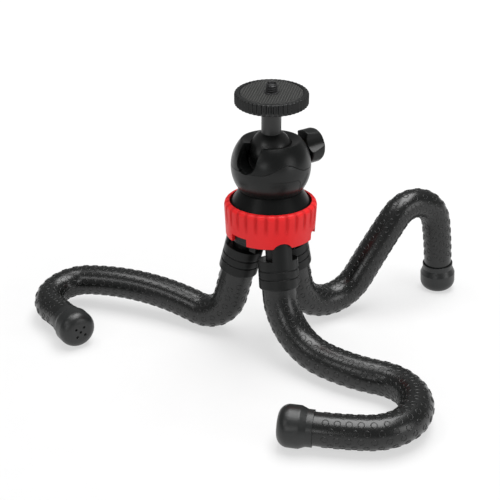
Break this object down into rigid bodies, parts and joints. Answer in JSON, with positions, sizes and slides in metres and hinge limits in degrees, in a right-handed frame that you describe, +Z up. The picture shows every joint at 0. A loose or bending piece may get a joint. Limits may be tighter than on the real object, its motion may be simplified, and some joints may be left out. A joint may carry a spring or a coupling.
{
  "type": "flexible leg tripod",
  "caption": "Table-top camera tripod with bendable rubber-covered legs on rounded feet, a red locking collar and a small ball head with a drop notch, a side knob and a round camera plate.",
  "frame": {"origin": "middle of the box's underside, on the floor that the feet stand on", "axes": "+Z up, +X to the right and -Y to the front as seen in the picture, which is the side of the front leg"},
  "size_m": [0.2618, 0.1959, 0.157],
  "materials": {
    "head_black": "satin black moulding",
    "plate_black": "satin black",
    "pad_rubber": "fine ribbed",
    "screw_black": "black oxide",
    "ball_black": "polished black",
    "acetal": "black acetal",
    "steel": "zinc plated",
    "brass": "turned",
    "collar_red": "satin red",
    "hub_black": "satin black moulding",
    "leg_rubber": "embossed with small rings",
    "core_wire": "soft drawn wire",
    "foot_rubber": "matte"
  },
  "bodies": {
    "hub": {"head_upper_shell": "head_black", "head_lower_shell": "head_black", "ball_seat": "acetal", "lock_nut": "brass", "shell_screws": "steel", "base_dish": "hub_black", "head_stud": "steel", "hub_body": "hub_black", "collar": "collar_red", "leg_screws": "steel", "core_ferrules": "core_wire", "right_socket": "hub_black", "right_root_cover": "leg_rubber", "right_knee_cover": "leg_rubber", "right_upper_core": "core_wire", "left_socket": "hub_black", "left_root_cover": "leg_rubber", "left_knee_cover": "leg_rubber", "left_upper_core": "core_wire", "front_socket": "hub_black", "front_root_cover": "leg_rubber", "front_knee_cover": "leg_rubber", "front_upper_core": "core_wire"},
    "ball": {"ball_stem": "ball_black"},
    "plate": {"camera_plate": "plate_black", "plate_pad": "pad_rubber", "camera_screw": "screw_black"},
    "brake": {"brake_pad": "acetal"},
    "knob": {"lock_knob": "head_black", "lock_screw": "steel"},
    "right_span": {"right_span_cover": "leg_rubber", "right_mid_cover": "leg_rubber"},
    "right_tip": {"right_tip_cover": "leg_rubber", "right_lower_core": "core_wire", "right_foot": "foot_rubber"},
    "left_span": {"left_span_cover": "leg_rubber", "left_mid_cover": "leg_rubber"},
    "left_tip": {"left_tip_cover": "leg_rubber", "left_lower_core": "core_wire", "left_foot": "foot_rubber"},
    "front_span": {"front_span_cover": "leg_rubber", "front_mid_cover": "leg_rubber"},
    "front_tip": {"front_tip_cover": "leg_rubber", "front_lower_core": "core_wire", "front_foot": "foot_rubber"}
  },
  "joints": [
    {"name": "ball_drop", "type": "hinge", "parent": "hub", "child": "ball", "pos_m": [0.01087, 0.02156, 0.11829], "axis": [0.7266, -0.6847, -0.0563], "range_deg": [-40, 83]},
    {"name": "plate_turn", "type": "hinge", "parent": "ball", "child": "plate", "pos_m": [0.01087, 0.02156, 0.11829], "axis": [0, -0.0819, 0.9966], "continuous": true},
    {"name": "pad_press", "type": "slide", "parent": "hub", "child": "brake", "axis": [0.788, 0.6157, 0], "range_m": [0, 0.0008]},
    {"name": "knob_turn", "type": "hinge", "parent": "brake", "child": "knob", "pos_m": [0.01087, 0.02156, 0.11419], "axis": [0.788, 0.6157, 0], "range_deg": [0, 360]},
    {"name": "right_knee", "type": "hinge", "parent": "hub", "child": "right_span", "pos_m": [0.04369, 0.0481, 0.01148], "axis": [0.4756, -0.8768, -0.0708], "range_deg": [-35, 30], "deforming": ["right_knee_cover", "right_upper_core"]},
    {"name": "right_mid", "type": "hinge", "parent": "right_span", "child": "right_tip", "pos_m": [0.07711, 0.06457, 0.04097], "axis": [-0.4454, 0.8949, -0.0282], "range_deg": [-45, 45], "deforming": ["right_mid_cover", "right_lower_core"]},
    {"name": "left_knee", "type": "hinge", "parent": "hub", "child": "left_span", "pos_m": [-0.01952, 0.0312, 0.01431], "axis": [0.4926, 0.868, -0.0626], "range_deg": [-35, 35], "deforming": ["left_knee_cover", "left_upper_core"]},
    {"name": "left_mid", "type": "hinge", "parent": "left_span", "child": "left_tip", "pos_m": [-0.06589, 0.05455, 0.01705], "axis": [0.0022, -0.1544, 0.988], "range_deg": [-45, 45], "deforming": ["left_mid_cover", "left_lower_core"]},
    {"name": "front_knee", "type": "hinge", "parent": "hub", "child": "front_span", "pos_m": [0.02422, -0.008, 0.02008], "axis": [-0.6203, -0.7707, 0.1456], "range_deg": [-35, 35], "deforming": ["front_knee_cover", "front_upper_core"]},
    {"name": "front_mid", "type": "hinge", "parent": "front_span", "child": "front_tip", "pos_m": [0.05552, -0.03283, 0.01107], "axis": [-0.0171, 0.0129, -0.9998], "range_deg": [-45, 45], "deforming": ["front_mid_cover", "front_lower_core"]}
  ],
  "couplings": [
    {"joint": "knob_turn", "follows": "pad_press", "rad_per_m": 7854}
  ]
}
